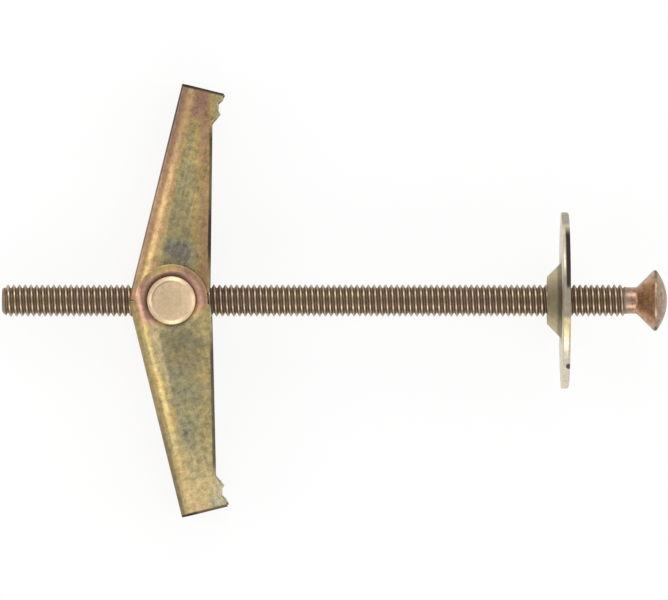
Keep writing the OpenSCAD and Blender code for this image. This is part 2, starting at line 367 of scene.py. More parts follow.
def chromate_group():
    tree = bpy.data.node_groups.new("chromate_film", "ShaderNodeTree")
    tree.interface.new_socket("Place", in_out="INPUT", socket_type="NodeSocketVector")
    for name in FILM_SOCKETS:
        tree.interface.new_socket(name, in_out="INPUT", socket_type="NodeSocketFloat")
    tree.interface.new_socket("Color", in_out="OUTPUT", socket_type="NodeSocketColor")
    tree.interface.new_socket("Roughness", in_out="OUTPUT", socket_type="NodeSocketFloat")
    tree.interface.new_socket("Height", in_out="OUTPUT", socket_type="NodeSocketFloat")
    given = add_node(tree, "NodeGroupInput").outputs
    place = given["Place"]
    patch = film_noise(tree, place, calc(tree, "DIVIDE", 1.0, given["Patch Size"]), 3.0)
    speck = film_noise(tree, place, SPECK_SCALE, 2.5)
    fine = film_noise(tree, place, FINE_SCALE, 2.0)
    streak = film_noise(tree, place, 1.0, 2.0, STREAK_STRETCH)
    film = total(
        tree,
        given["Film"],
        centred(tree, patch, calc(tree, "MULTIPLY", given["Patches"], FILM_SPREAD["patch"])),
        centred(tree, speck, calc(tree, "MULTIPLY", given["Specks"], FILM_SPREAD["speck"])),
        centred(tree, streak, FILM_SPREAD["streak"]),
    )
    colour = ramp(tree, film, FILM_COLOURS)
    shade = total(
        tree,
        centred(tree, speck, SHADE_SPREAD["speck"]),
        centred(tree, fine, SHADE_SPREAD["fine"]),
        centred(tree, streak, SHADE_SPREAD["streak"]),
    )
    level = calc(tree, "MULTIPLY_ADD", shade, given["Specks"], 1.0)
    tone = add_node(tree, "ShaderNodeVectorMath", operation="SCALE")
    # The pale colour stands for bare zinc and also paints highlights.
    feed(tree, tone.inputs[0], blend_colour(tree, given["Bare"], colour, BARE_AND_HIGHLIGHT_COLOUR))
    feed(tree, tone.inputs["Scale"], level)
    # The dark colour stands for grime and also paints shade.
    grimed_and_shaded = blend_colour(tree, given["Grime"], tone.outputs[0], GRIME_AND_SHADE_COLOUR)
    rough = total(
        tree,
        given["Roughness"],
        centred(tree, patch, ROUGH_SPREAD["patch"]),
        centred(tree, fine, ROUGH_SPREAD["fine"]),
        calc(tree, "MULTIPLY", given["Grime"], GRIME_AND_SHADE_ROUGHNESS),
    )
    output = add_node(tree, "NodeGroupOutput")
    feed(tree, output.inputs["Color"], grimed_and_shaded)
    feed(tree, output.inputs["Roughness"], rough)
    feed(tree, output.inputs["Height"], total(tree, speck, calc(tree, "MULTIPLY", fine, FINE_HEIGHT)))
    return tree


CHROMATE = chromate_group()
print("film colours:", len(FILM_COLOURS), "from thin to thick")

# %% [markdown]
# ## Plated materials
# Each material reads Object coordinates, turns them into millimetres in a frame of its piece, and
# works out from them where the film is thick and where grime, painted shade and painted highlights
# sit. A dictionary of those sockets goes into the chromate group, and the group's colour, roughness
# and height go into one Principled shader.

# %% Plated materials
RELIEF_STRENGTH = 0.25
RELIEF_DEPTH = 0.02


def place_in(tree, turn):
    """Millimetres along the axes of a frame that is turned about the pivot."""
    coordinates = add_node(tree, "ShaderNodeTexCoord")
    mapping = add_node(tree, "ShaderNodeMapping", vector_type="TEXTURE")
    mapping.inputs["Location"].default_value = pivot
    mapping.inputs["Rotation"].default_value = turn.to_euler()
    mapping.inputs["Scale"].default_value = (MM, MM, MM)
    feed(tree, mapping.inputs["Vector"], coordinates.outputs["Object"])
    return mapping.outputs["Vector"]


def plated(name, turn, describe):
    """A chromated zinc material. describe(tree, place) gives the values of the film's sockets."""
    material = bpy.data.materials.new(name)
    material.use_nodes = True
    tree = material.node_tree
    shader = tree.nodes["Principled BSDF"]
    shader.inputs["Metallic"].default_value = 1.0
    place = place_in(tree, turn)
    film = add_node(tree, "ShaderNodeGroup", node_tree=CHROMATE)
    feed(tree, film.inputs["Place"], place)
    for socket, value in describe(tree, place).items():
        feed(tree, film.inputs[socket], value)
    relief = add_node(tree, "ShaderNodeBump")
    relief.inputs["Strength"].default_value = RELIEF_STRENGTH
    relief.inputs["Distance"].default_value = RELIEF_DEPTH * MM
    feed(tree, relief.inputs["Height"], film.outputs["Height"])
    feed(tree, shader.inputs["Base Color"], film.outputs["Color"])
    feed(tree, shader.inputs["Roughness"], film.outputs["Roughness"])
    feed(tree, shader.inputs["Normal"], relief.outputs["Normal"])
    return material


def axes_of(tree, place):
    parts = add_node(tree, "ShaderNodeSeparateXYZ")
    feed(tree, parts.inputs[0], place)
    return parts.outputs


def radius_of(tree, first, second):
    squares = [calc(tree, "POWER", value, 2.0) for value in (first, second)]
    return calc(tree, "SQRT", total(tree, *squares))


print("materials read millimetres about", tuple(round(value, 4) for value in pivot))

# %% [markdown]
# ## Piece helpers
# A finished piece is a plain mesh with its place in its vertices. These helpers make an object
# from a bmesh, apply its modifiers, and seat it: the mesh is cleaned, moves from the bolt's frame
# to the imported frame, gets smooth shading with sharp edges kept, and takes its material.

# %% Piece helpers
SMOOTH_ANGLE = math.radians(32)
SLIVER = 0.0005


def new_object(name, bm):
    mesh = bpy.data.meshes.new(name)
    bm.to_mesh(mesh)
    bm.free()
    made = bpy.data.objects.new(name, mesh)
    bpy.context.scene.collection.objects.link(made)
    return made


def bake_modifiers(made):
    """Replaces an object's mesh by its evaluated mesh and removes the modifiers."""
    evaluated = made.evaluated_get(bpy.context.evaluated_depsgraph_get())
    mesh = bpy.data.meshes.new_from_object(evaluated)
    old = made.data
    made.modifiers.clear()
    made.data = mesh
    bpy.data.meshes.remove(old)
    return made


def clean(mesh):
    """Merges the slivers that cutting leaves, closes any gap and turns the faces outwards."""
    bm = bmesh.new()
    bm.from_mesh(mesh)
    bmesh.ops.remove_doubles(bm, verts=bm.verts, dist=SLIVER)
    bmesh.ops.holes_fill(bm, edges=[edge for edge in bm.edges if edge.is_boundary])
    bmesh.ops.triangulate(bm, faces=[face for face in bm.faces if len(face.verts) > 4])
    bmesh.ops.recalc_face_normals(bm, faces=bm.faces)
    if bm.calc_volume(signed=True) < 0:
        bmesh.ops.reverse_faces(bm, faces=bm.faces)
    bm.to_mesh(mesh)
    bm.free()


def seat(made, material):
    mesh = made.data
    clean(mesh)
    mesh.transform(BOLT)
    mesh.shade_smooth()
    mesh.set_sharp_from_angle(angle=SMOOTH_ANGLE)
    mesh.materials.clear()
    mesh.materials.append(material)
    triangles = sum(len(face.vertices) - 2 for face in mesh.polygons)
    print(made.name, "has", triangles, "triangles")
    return made


def rounded(points, steps=4):
    """A closed or open outline of (x, y, radius) points with each corner rounded by its radius."""
    outline = []
    for i, (x, y, radius) in enumerate(points):
        here = Vector((x, y))
        if radius == 0:
            outline.append(here)
            continue
        before = (Vector(points[i - 1][:2]) - here).normalized()
        after = (Vector(points[(i + 1) % len(points)][:2]) - here).normalized()
        half = before.angle(after) / 2
        center = here + (before + after).normalized() * radius / math.sin(half)
        first = here + before * radius / math.tan(half) - center
        last = here + after * radius / math.tan(half) - center
        sweep = first.angle_signed(last)
        for step in range(steps + 1):
            arm = first.copy()
            arm.rotate(Matrix.Rotation(-sweep * step / steps, 2))
            outline.append(center + arm)
    return outline


def turned(outline, closed, segments):
    """A bmesh of an outline of (along, radius) points turned about the x axis."""
    bm = bmesh.new()
    rings = []
    for along, radius in outline:
        if radius < 1e-6:
            rings.append([bm.verts.new((along, 0, 0))])
            continue
        angles = (2 * math.pi * k / segments for k in range(segments))
        rings.append([bm.verts.new((along, radius * math.cos(a), radius * math.sin(a))) for a in angles])
    following = rings[1:] + rings[:1] if closed else rings[1:]
    for first, second in zip(rings, following):
        for k in range(segments):
            n = (k + 1) % segments
            ends = ((first, k), (first, n), (second, n), (second, k))
            corners = [ring[i % len(ring)] for ring, i in ends]
            bm.faces.new(list(dict.fromkeys(corners)))
    bmesh.ops.recalc_face_normals(bm, faces=bm.faces)
    return bm


print("sharp edges start at", round(math.degrees(SMOOTH_ANGLE)), "degrees")

# %% [markdown]
# ## Screw: the thread
# The screw is cold-headed wire with a rolled M4 thread. A thread could be a screw modifier on a
# profile, but then its ends stop open and at a slant. Here Geometry Nodes bend a flat grid into
# it: its columns go round the screw and each row follows the helix. Places beyond either end
# are pulled back to the end, so the thread runs out cleanly, and merging by distance closes its seam.

# %% Screw sizes
TIP_X = -20.8
NECK_X = 55.625
CONE_X = 56.825
CONE_END_X = 58.95
RIM_X = 59.2
DOME_H = 1.35
HEAD_R = 3.75
NECK_R = 1.625
THREAD = {
    "Start": TIP_X,
    "End": NECK_X,
    "Pitch": 0.7,
    "Crest Radius": 1.95,
    "Root Radius": 1.53,
    "Tip Radius": 1.4,
    "Neck Radius": NECK_R,
    "Root Share": 0.17,
    "Flank Share": 0.79,
    "Run Out": 0.6,
    "Columns": 48,
    "Rows": 10,
}
CREST_EASE = 0.06
ROOT_EASE = 0.10


# %% Thread tree
def thread_tree():
    tree = bpy.data.node_groups.new("rolled_thread", "GeometryNodeTree")
    for name, value in THREAD.items():
        kind = "NodeSocketInt" if isinstance(value, int) else "NodeSocketFloat"
        tree.interface.new_socket(name, in_out="INPUT", socket_type=kind)
    tree.interface.new_socket("Material", in_out="INPUT", socket_type="NodeSocketMaterial")
    tree.interface.new_socket("Geometry", in_out="OUTPUT", socket_type="NodeSocketGeometry")
    given = add_node(tree, "NodeGroupInput").outputs
    length = calc(tree, "SUBTRACT", given["End"], given["Start"])
    turns = calc(tree, "ADD", calc(tree, "CEIL", calc(tree, "DIVIDE", length, given["Pitch"])), 2.0)
    grid = add_node(tree, "GeometryNodeMeshGrid")
    grid.inputs["Size X"].default_value = 1.0
    grid.inputs["Size Y"].default_value = 1.0
    feed(tree, grid.inputs["Vertices X"], calc(tree, "ADD", given["Columns"], 1.0))
    feed(tree, grid.inputs["Vertices Y"], calc(tree, "MULTIPLY_ADD", turns, given["Rows"], 1.0))
    flat = add_node(tree, "ShaderNodeSeparateXYZ")
    feed(tree, flat.inputs[0], add_node(tree, "GeometryNodeInputPosition").outputs[0])
    share = calc(tree, "ADD", flat.outputs["X"], 0.5)
    row_share = calc(tree, "ADD", flat.outputs["Y"], 0.5)
    row = calc(tree, "SUBTRACT", calc(tree, "MULTIPLY", row_share, turns), 1.0)
    free = calc(tree, "MULTIPLY_ADD", calc(tree, "ADD", row, share), given["Pitch"], given["Start"])
    along = calc(tree, "MINIMUM", calc(tree, "MAXIMUM", free, given["Start"]), given["End"])
    past_tip = calc(tree, "SUBTRACT", along, given["Start"])
    turned_by = calc(tree, "DIVIDE", past_tip, given["Pitch"])
    phase = calc(tree, "FRACT", calc(tree, "SUBTRACT", turned_by, share))
    hill = calc(tree, "ABSOLUTE", calc(tree, "MULTIPLY_ADD", phase, 2.0, -1.0))
    flank = add_node(tree, "ShaderNodeMapRange", clamp=False)
    feed(tree, flank.inputs["Value"], hill)
    feed(tree, flank.inputs["From Min"], given["Root Share"])
    feed(tree, flank.inputs["From Max"], given["Flank Share"])
    feed(tree, flank.inputs["To Min"], given["Root Radius"])
    feed(tree, flank.inputs["To Max"], given["Crest Radius"])
    topped = calc(tree, "SMOOTH_MIN", flank.outputs["Result"], given["Crest Radius"], CREST_EASE)
    profile = calc(tree, "SMOOTH_MAX", topped, given["Root Radius"], ROOT_EASE)
    pointed = calc(tree, "MINIMUM", profile, calc(tree, "ADD", past_tip, given["Tip Radius"]))
    run_out = ease(tree, calc(tree, "SUBTRACT", given["End"], along), given["Run Out"], 0.0)
    to_neck = calc(tree, "SUBTRACT", given["Neck Radius"], pointed)
    radius = calc(tree, "MULTIPLY_ADD", run_out, to_neck, pointed)
    past_first_row = calc(tree, "GREATER_THAN", row, -0.999)
    closed = calc(tree, "MULTIPLY", radius, past_first_row)
    angle = calc(tree, "MULTIPLY", share, 2 * math.pi)
    place = add_node(tree, "ShaderNodeCombineXYZ")
    feed(tree, place.inputs["X"], along)
    feed(tree, place.inputs["Y"], calc(tree, "MULTIPLY", closed, calc(tree, "COSINE", angle)))
    feed(tree, place.inputs["Z"], calc(tree, "MULTIPLY", closed, calc(tree, "SINE", angle)))
    bend = add_node(tree, "GeometryNodeSetPosition")
    feed(tree, bend.inputs["Geometry"], grid.outputs["Mesh"])
    feed(tree, bend.inputs["Position"], place.outputs[0])
    merge = add_node(tree, "GeometryNodeMergeByDistance")
    merge.inputs["Distance"].default_value = SLIVER
    feed(tree, merge.inputs["Geometry"], bend.outputs[0])
    real = add_node(tree, "GeometryNodeRealizeInstances")
    feed(tree, real.inputs[0], merge.outputs[0])
    finish = add_node(tree, "GeometryNodeSetMaterial")
    feed(tree, finish.inputs["Geometry"], real.outputs[0])
    feed(tree, finish.inputs["Material"], given["Material"])
    output = add_node(tree, "NodeGroupOutput")
    feed(tree, output.inputs[0], finish.outputs[0])
    return tree


def threaded_shank(material):
    """The thread as a plain mesh object, open at the neck."""
    tree = thread_tree()
    made = new_object("screw_thread", bmesh.new())
    modifier = made.modifiers.new("thread", "NODES")
    modifier.node_group = tree
    settings = {**THREAD, "Material": material}
    for socket in tree.interface.items_tree:
        if socket.in_out == "INPUT":
            modifier[socket.identifier] = settings[socket.name]
    return bake_modifiers(made)


print("thread:", round((NECK_X - TIP_X) / THREAD["Pitch"]), "turns")

# %% [markdown]
# ## Screw: its finish
# The screw is browner than the wings. Its crests are rubbed bright and painted shade darkens its
# roots, so that darkening follows the distance from the axis. The head keeps a thicker, coppery
# film with coarse specks, and its dome is a little worn and dirty, with painted shade at the slot's
# ends, where the dome curves away at its top and bottom.

# %% Screw finish
def screw_film(tree, place):
    along, across, up = axes_of(tree, place)
    radius = radius_of(tree, across, up)
    on_thread = ease(tree, along, CONE_X - 0.2, NECK_X - THREAD["Run Out"])
    # Painted shade in the thread's roots.
    root_shade = ease(tree, radius, THREAD["Crest Radius"] - 0.03, THREAD["Root Radius"] + 0.07)
    on_dome = ease(tree, along, CONE_END_X - 0.15, CONE_END_X + 0.1)
    from_middle = calc(tree, "ABSOLUTE", across)
    # Painted shade at the slot's ends, where the dome curves away at its top and bottom.
    slot_end_shade = both(tree, on_dome, ease(tree, from_middle, HEAD_R - 0.85, HEAD_R - 0.25))
    return {
        "Film": toward(tree, toward(tree, 0.78, 0.66, on_thread), 0.72, on_dome),
        "Patches": toward(tree, 0.20, 0.32, on_thread),
        "Patch Size": 3.0,
        "Specks": toward(tree, 0.90, 0.25, on_thread),
        "Bare": total(tree, both(tree, on_thread, 0.48), both(tree, on_dome, 0.2)),
        "Grime": total(
            tree,
            both(tree, on_thread, root_shade, 0.26),
            toward(tree, 0.12, 0.40, on_thread),
            both(tree, on_dome, 0.32),
            both(tree, slot_end_shade, 0.40),
        ),
        "Roughness": toward(tree, 0.30, 0.28, on_thread),
    }


screw_finish = plated("screw_chromate", BOLT_TURN, screw_film)
print("screw finish:", screw_finish.name)

# %% [markdown]
# ## Screw: neck, head and slot
# The rest of the screw is turned from one outline: neck, countersunk cone, thin rim and low dome.
# Its first ring has as many points as the thread has columns, so the two weld into one skin. A
# cutter then takes out the slot, and only the slot's edges are bevelled.

# %% Neck, head and slot
DOME_STEPS = 12
SLOT_W = 1.0
SLOT_DEPTH = 1.7
SLOT_BEVEL = 0.07
SLOT_EDGE_ANGLE = math.radians(40)
DOME_SHARE = 0.9


def head_outline():
    dome_r = (HEAD_R ** 2 + DOME_H ** 2) / (2 * DOME_H)
    dome_x = RIM_X + DOME_H - dome_r
    dome_angle = DOME_SHARE * math.asin(HEAD_R / dome_r)
    shoulder = rounded([
        (NECK_X, NECK_R, 0),
        (CONE_X, NECK_R, 0.5),
        (CONE_END_X, HEAD_R, 0.12),
        (RIM_X + 0.02, HEAD_R, 0.10),
        (dome_x + dome_r * math.cos(dome_angle), dome_r * math.sin(dome_angle), 0),
    ])
    angles = (dome_angle * (1 - step / DOME_STEPS) for step in range(1, DOME_STEPS + 1))
    return shoulder + [Vector((dome_x + dome_r * math.cos(a), dome_r * math.sin(a))) for a in angles]


def box_mesh(low, high):
    bm = bmesh.new()
    bmesh.ops.create_cube(bm, size=1.0)
    size = Vector(high) - Vector(low)
    bmesh.ops.scale(bm, vec=size, verts=bm.verts)
    bmesh.ops.translate(bm, vec=(Vector(high) + Vector(low)) / 2, verts=bm.verts)
    return bm


def cut(made, cutter):
    """Takes the cutter's volume out of an object and removes the cutter."""
    boolean = made.modifiers.new("cut", "BOOLEAN")
    boolean.operation = "DIFFERENCE"
    boolean.solver = "EXACT"
    boolean.object = cutter
    bake_modifiers(made)
    bpy.data.objects.remove(cutter)
    return made


def soften(made, share_of, width):
    """Bevels edges by the share of a width that share_of(edge) gives, from 0 to 1."""
    bm = bmesh.new()
    bm.from_mesh(made.data)
    weight = bm.edges.layers.float.new("bevel_weight_edge")
    count = 0
    for edge in bm.edges:
        edge[weight] = share_of(edge)
        count += edge[weight] > 0
    bm.to_mesh(made.data)
    bm.free()
    bevel = made.modifiers.new("soften", "BEVEL")
    bevel.limit_method = "WEIGHT"
    bevel.width = width
    bevel.segments = 2
    bevel.use_clamp_overlap = False
    bevel.loop_slide = False
    print(made.name, "has", count, "softened edges")
    return bake_modifiers(made)


def screw_piece():
    shank = threaded_shank(screw_finish)
    bm = turned(head_outline(), False, THREAD["Columns"])
    bm.from_mesh(shank.data)
    bpy.data.objects.remove(shank)
    bmesh.ops.remove_doubles(bm, verts=bm.verts, dist=SLIVER)
    bmesh.ops.recalc_face_normals(bm, faces=bm.faces)
    screw = new_object("screw_with_thread", bm)
    slot_floor = RIM_X + DOME_H - SLOT_DEPTH
    cutter = box_mesh((slot_floor, -2 * HEAD_R, -SLOT_W / 2), (2 * RIM_X, 2 * HEAD_R, SLOT_W / 2))
    cut(screw, new_object("slot_cutter", cutter))

    def slot_edge(edge):
        on_wall = all(abs(abs(vert.co.z) - SLOT_W / 2) < 1e-3 for vert in edge.verts)
        above_floor = all(vert.co.x > slot_floor + 0.05 for vert in edge.verts)
        return 1.0 if on_wall and above_floor and edge.calc_face_angle() > SLOT_EDGE_ANGLE else 0.0

    soften(screw, slot_edge, SLOT_BEVEL)
    return seat(screw, screw_finish)


screw = screw_piece()
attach(screw, "screw")
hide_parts("screw")

# %% [markdown]
# ## Dished washer
# The washer is stamped from sheet: a flat flange for the wall and a dish for the head. A stamped
# rim is not square. Shearing rounds the edge on the punch side and leaves the other crisp, so the
# outline gets a different radius at each corner before it is turned.

# %% Washer
WASHER_X = 47.6
WASHER_R = 10.8
WASHER_SHEET = 0.9
WASHER_BEND_R = 0.5
DISH_R = 4.65
DISH_ANGLE = math.radians(45)
WASHER_HOLE_R = 2.25
WASHER_SEGMENTS = 128
WALL_SIDE_CORNER = 0.10
PUNCH_SIDE_CORNER = 0.28
HOLE_CORNERS = (0.15, 0.08)


def washer_section():
    """Corners of the sheet's section as (along, radius, corner radius), with both bends as arcs."""
    tangent = WASHER_BEND_R * math.tan(DISH_ANGLE / 2)
    outer_r = WASHER_BEND_R + WASHER_SHEET
    outer_tangent = outer_r * math.tan(DISH_ANGLE / 2)
    bend_r = DISH_R + tangent
    leg = (DISH_R - WASHER_HOLE_R) / math.cos(DISH_ANGLE) - WASHER_SHEET - tangent
    sine = math.sin(DISH_ANGLE)
    cosine = math.cos(DISH_ANGLE)

    def dish_end(face_r):
        """The dish's end on the face whose bend has this radius."""
        return (face_r * cosine - WASHER_BEND_R - leg * sine, bend_r - face_r * sine - leg * cosine)

    corners = [
        (0, WASHER_R, WALL_SIDE_CORNER),
        (WASHER_SHEET, WASHER_R, PUNCH_SIDE_CORNER),
        (WASHER_SHEET, bend_r - outer_tangent, outer_r),
        (*dish_end(outer_r), HOLE_CORNERS[0]),
        (*dish_end(WASHER_BEND_R), HOLE_CORNERS[1]),
        (0, bend_r - tangent, WASHER_BEND_R),
    ]
    return [(along + WASHER_X, radius, corner) for along, radius, corner in corners]


# %% [markdown]
# ## Dished washer: its finish
# The flange is rubbed half bare and the dish keeps more film. On the edge that faces up there are a
# dark stain and a dark band on its head side, the edge darkens towards its top end, and painted shade
# lies on it beside the screw. Painted shade darkens the fold between flange and dish, and a painted
# reflection of the screw darkens the dish next to it.

# %% Washer finish
STAIN = (WASHER_X + 0.7, -8.0)
STAIN_R = 0.40
DARK_BAND_X = WASHER_X + 0.2
DARK_BAND_ENDS = (0.5, 9.4)
DARK_BAND_FADE = 1.5


def washer_film(tree, place):
    along, across, up = axes_of(tree, place)
    radius = radius_of(tree, across, up)
    on_flange = ease(tree, radius, DISH_R, DISH_R + 1.0)
    on_rim = both(tree, ease(tree, radius, WASHER_R - 0.7, WASHER_R - 0.4), ease(tree, up, 0.0, 1.0))
    stain_x = calc(tree, "SUBTRACT", along, STAIN[0])
    stain_y = calc(tree, "SUBTRACT", across, STAIN[1])
    stain = ease(tree, radius_of(tree, stain_x, stain_y), STAIN_R, 0.6 * STAIN_R, 0.0, 0.9)
    # A dark band on the head-side half of the rim's edge, over its upper half.
    dark_band = both(
        tree,
        ease(tree, along, DARK_BAND_X, DARK_BAND_X + 0.25),
        ease(tree, across, DARK_BAND_ENDS[0], DARK_BAND_ENDS[0] + DARK_BAND_FADE),
        ease(tree, across, DARK_BAND_ENDS[1], DARK_BAND_ENDS[1] - DARK_BAND_FADE),
    )
    below_screw = both(tree, on_rim, ease(tree, across, -1.7, -2.3), ease(tree, across, -5.4, -4.2))
    # Painted shade on the rim beside the screw.
    shade_beside_screw = both(tree, ease(tree, across, 5.0, 2.5), ease(tree, across, -2.4, -1.8), 0.55)
    top_end = ease(tree, across, 8.6, 9.6, 0.0, 0.4)
    # Painted shade in the fold between the flange and the dish.
    crease_shade = both(
        tree,
        ease(tree, along, WASHER_X - 0.7, WASHER_X - 0.35),
        ease(tree, along, WASHER_X + 0.15, WASHER_X),
        ease(tree, radius, DISH_R + 0.95, DISH_R + 0.35),
    )
    from_screw = calc(tree, "ABSOLUTE", across)
    # Painted reflection of the screw: the dish is darker next to it.
    dish_screw_reflection = both(
        tree,
        ease(tree, radius, DISH_R + 0.5, DISH_R),
        ease(tree, from_screw, 1.2, 3.4, 0.40, 0.12),
    )
    return {
        "Film": toward(tree, toward(tree, 0.26, 0.08, on_flange), 0.34, below_screw),
        "Patches": 0.40,
        "Patch Size": 3.0,
        "Specks": 0.30,
        "Bare": toward(tree, toward(tree, 0.16, 0.58, on_flange), 0.20, below_screw),
        "Grime": most(
            tree,
            both(tree, on_rim, most(tree, stain, dark_band, shade_beside_screw, top_end)),
            calc(tree, "MULTIPLY_ADD", crease_shade, 0.40, dish_screw_reflection),
        ),
        "Roughness": 0.42,
    }


washer_finish = plated("washer_chromate", BOLT_TURN, washer_film)
washer = new_object("washer_stamped", turned(rounded(washer_section(), 5), True, WASHER_SEGMENTS))
seat(washer, washer_finish)
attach(washer, "washer")
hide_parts("dished_washer")

# %% [markdown]
# ## Trunnion nut
# The nut is a turned barrel with a journal at each end. After the wings are put on, its ends are
# riveted over: the face is left flat, matte and slightly dished inside a bright bevelled rim.
# It is turned about x like the other round pieces, swung onto the pivot, and cross-drilled.

# %% Trunnion nut
BARREL_R = 3.5
BARREL_HALF = 3.5165
BARREL_CHAMFER = 0.4
JOURNAL_R = 2.4
RIVET_R = 2.95
RIVET_FACE_R = 2.5
RIVET_BASE = 5.5665
RIVET_TOP = 6.1165
RIVET_DISH = 0.05
BORE_R = 2.0
NUT_SEGMENTS = 96
BORE_SEGMENTS = 64
BORE_HALF = 9


def nut_outline():
    half = [
        (RIVET_TOP - RIVET_DISH, 0, 0),
        (RIVET_TOP - RIVET_DISH, RIVET_FACE_R - 0.22, 0),
        (RIVET_TOP, RIVET_FACE_R - 0.06, 0.06),
        ((RIVET_BASE + RIVET_TOP) / 2, RIVET_R, 0.12),
        (RIVET_BASE, RIVET_R, 0.08),
        (RIVET_BASE, JOURNAL_R, 0),
        (BARREL_HALF, JOURNAL_R, 0),
        (BARREL_HALF, BARREL_R - BARREL_CHAMFER, 0.08),
        (BARREL_HALF - BARREL_CHAMFER, BARREL_R, 0.08),
    ]
    other = [(-along, radius, corner) for along, radius, corner in reversed(half)]
    return rounded(half + other, 3)


def nut_film(tree, place):
    along, across, up = axes_of(tree, place)
    radius = radius_of(tree, along, across)
    bevel = both(
        tree,
        ease(tree, radius, RIVET_FACE_R - 0.15, RIVET_FACE_R + 0.05),
        ease(tree, radius, RIVET_R, RIVET_R - 0.15),
    )
    diagonal = calc(tree, "MULTIPLY", radius, math.sqrt(2))
    up_left = calc(tree, "DIVIDE", calc(tree, "SUBTRACT", across, along), diagonal)
    # Painted shadow: a thin dark arc just inside the rim at the upper left of the face.
    arc = both(
        tree,
        ease(tree, up_left, 0.5, 0.9),
        ease(tree, radius, RIVET_FACE_R - 0.35, RIVET_FACE_R - 0.22),
        ease(tree, radius, RIVET_FACE_R - 0.02, RIVET_FACE_R - 0.12),
    )
    return {
        "Film": 0.60,
        "Patches": 0.16,
        "Patch Size": 2.0,
        "Specks": 0.24,
        "Bare": 0.32,
        "Grime": calc(tree, "MULTIPLY", arc, 0.4),
        "Roughness": calc(tree, "MULTIPLY_ADD", bevel, -0.06, 0.44),
    }


def nut_piece():
    bm = turned(nut_outline(), False, NUT_SEGMENTS)
    onto_pivot = Matrix.Rotation(math.radians(-90), 3, "Y")
    bmesh.ops.rotate(bm, cent=(0, 0, 0), matrix=onto_pivot, verts=bm.verts)
    nut = new_object("trunnion_riveted", bm)
    bore_outline = ((-BORE_HALF, 0), (-BORE_HALF, BORE_R), (BORE_HALF, BORE_R), (BORE_HALF, 0))
    bore = turned(bore_outline, False, BORE_SEGMENTS)
    cut(nut, new_object("bore_cutter", bore))
    return seat(nut, nut_finish)


nut_finish = plated("trunnion_chromate", BOLT_TURN, nut_film)
nut = nut_piece()
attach(nut, "toggle")
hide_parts("trunnion_nut")

# %% [markdown]
# ## Wings: the blank
# A wing starts as a flat blank, cut by a press tool and then folded into a channel. It could be
# cut out of a solid channel with booleans, but their edges are hard to round. So the blank comes
# first, as an outline in the plane with two pivot holes. Wing coordinates are p, out through the
# web, and q, along the web from the pivot to the tip.

# %% Wing sizes
LEAN = math.radians(13.9)
WING_LEN = 26.0
SHEET = 0.8
BEND_R = 1.6
FLANGE_P = 3.14
WEB_P = FLANGE_P + BEND_R
PIVOT_HOLE_R = 2.45
NOTCH_R = 2.35
WEB_END = 0.01
WEB_STEPS = 40
SEAM_SHARE = 0.3
BITE_LEN = 3.6
BITE = ((0.0, 0.0), (0.34, 1.0), (0.48, 0.73), (0.68, 0.73), (0.80, 1.2), (1.0, 1.5))
INNER = {"side": 1, "half_w": 4.4165, "ear_r": 3.773, "relief": 1.2, "edge": 4.6, "edge_lean": 0.7}
OUTER = {"side": -1, "half_w": 5.4665, "ear_r": 4.4, "relief": 0.8, "edge": 4.8, "edge_lean": 1.3}
BEND_STEPS = 14
EAR_STEPS = 40


# %% Blank of a wing
def to_wing(x, y):
    """Wing coordinates (p, q) of a point of the flange's plane."""
    return (-x * math.cos(LEAN) + y * math.sin(LEAN), x * math.sin(LEAN) + y * math.cos(LEAN))


def flange_outline(wing):
    """The flange's free outline from the corner at the tip, round the ear, to the end of the web."""
    edge_slope = math.tan(math.radians(wing["edge_lean"]))
    tip_x = wing["edge"] + BITE[-1][1]
    tip_y = (WING_LEN - tip_x * math.sin(LEAN)) / (math.cos(LEAN) + edge_slope * math.sin(LEAN))
    points = []
    for share, rise in reversed(BITE):
        y = tip_y - BITE_LEN * (1 - share)
        points.append((wing["edge"] + y * edge_slope + rise, y))
    start = Vector((wing["edge"] + wing["relief"] * edge_slope, wing["relief"]))
    points.append(tuple(start))
    to_ear = Vector((wing["ear_r"] - SHEET / 2, WEB_END)) - start
    along = start.dot(to_ear) / to_ear.length
    gap = along * along - start.length_squared + wing["ear_r"] ** 2
    meet = start + to_ear.normalized() * (-along - math.sqrt(gap))
    first = math.atan2(meet.y, meet.x)
    last = -math.pi - math.asin(WEB_END / wing["ear_r"])
    for step in range(EAR_STEPS + 1):
        angle = first + (last - first) * step / EAR_STEPS
        points.append((wing["ear_r"] * math.cos(angle), wing["ear_r"] * math.sin(angle)))
    return points


class Fold:
    """Positions on the folded sheet: t runs across the blank from the middle of the web."""

    def __init__(self, half_w):
        self.web_half = half_w - BEND_R - SHEET / 2
        self.flange_t = self.web_half + BEND_R * math.pi / 2

    def blank(self, p, q):
        return Vector((self.flange_t + FLANGE_P - p, q))

    def place(self, t, rise=0.0):
        """(p, r) at t and at a rise over the sheet's middle. r counts from the wing's middle."""
        angle = min(max((t - self.web_half) / BEND_R, 0), math.pi / 2)
        p = FLANGE_P + (BEND_R + rise) * math.cos(angle) - max(t - self.flange_t, 0)
        r = min(t, self.web_half) + (BEND_R + rise) * math.sin(angle)
        return p, r

    def web_end(self, t):
        """q of the end of the web at t: straight across the screw, with a notch round its thread."""
        p, r = self.place(t)
        notch = math.sqrt(max(NOTCH_R ** 2 - r ** 2, 0))
        return (max(WEB_END, notch) - p * math.sin(LEAN)) / math.cos(LEAN)


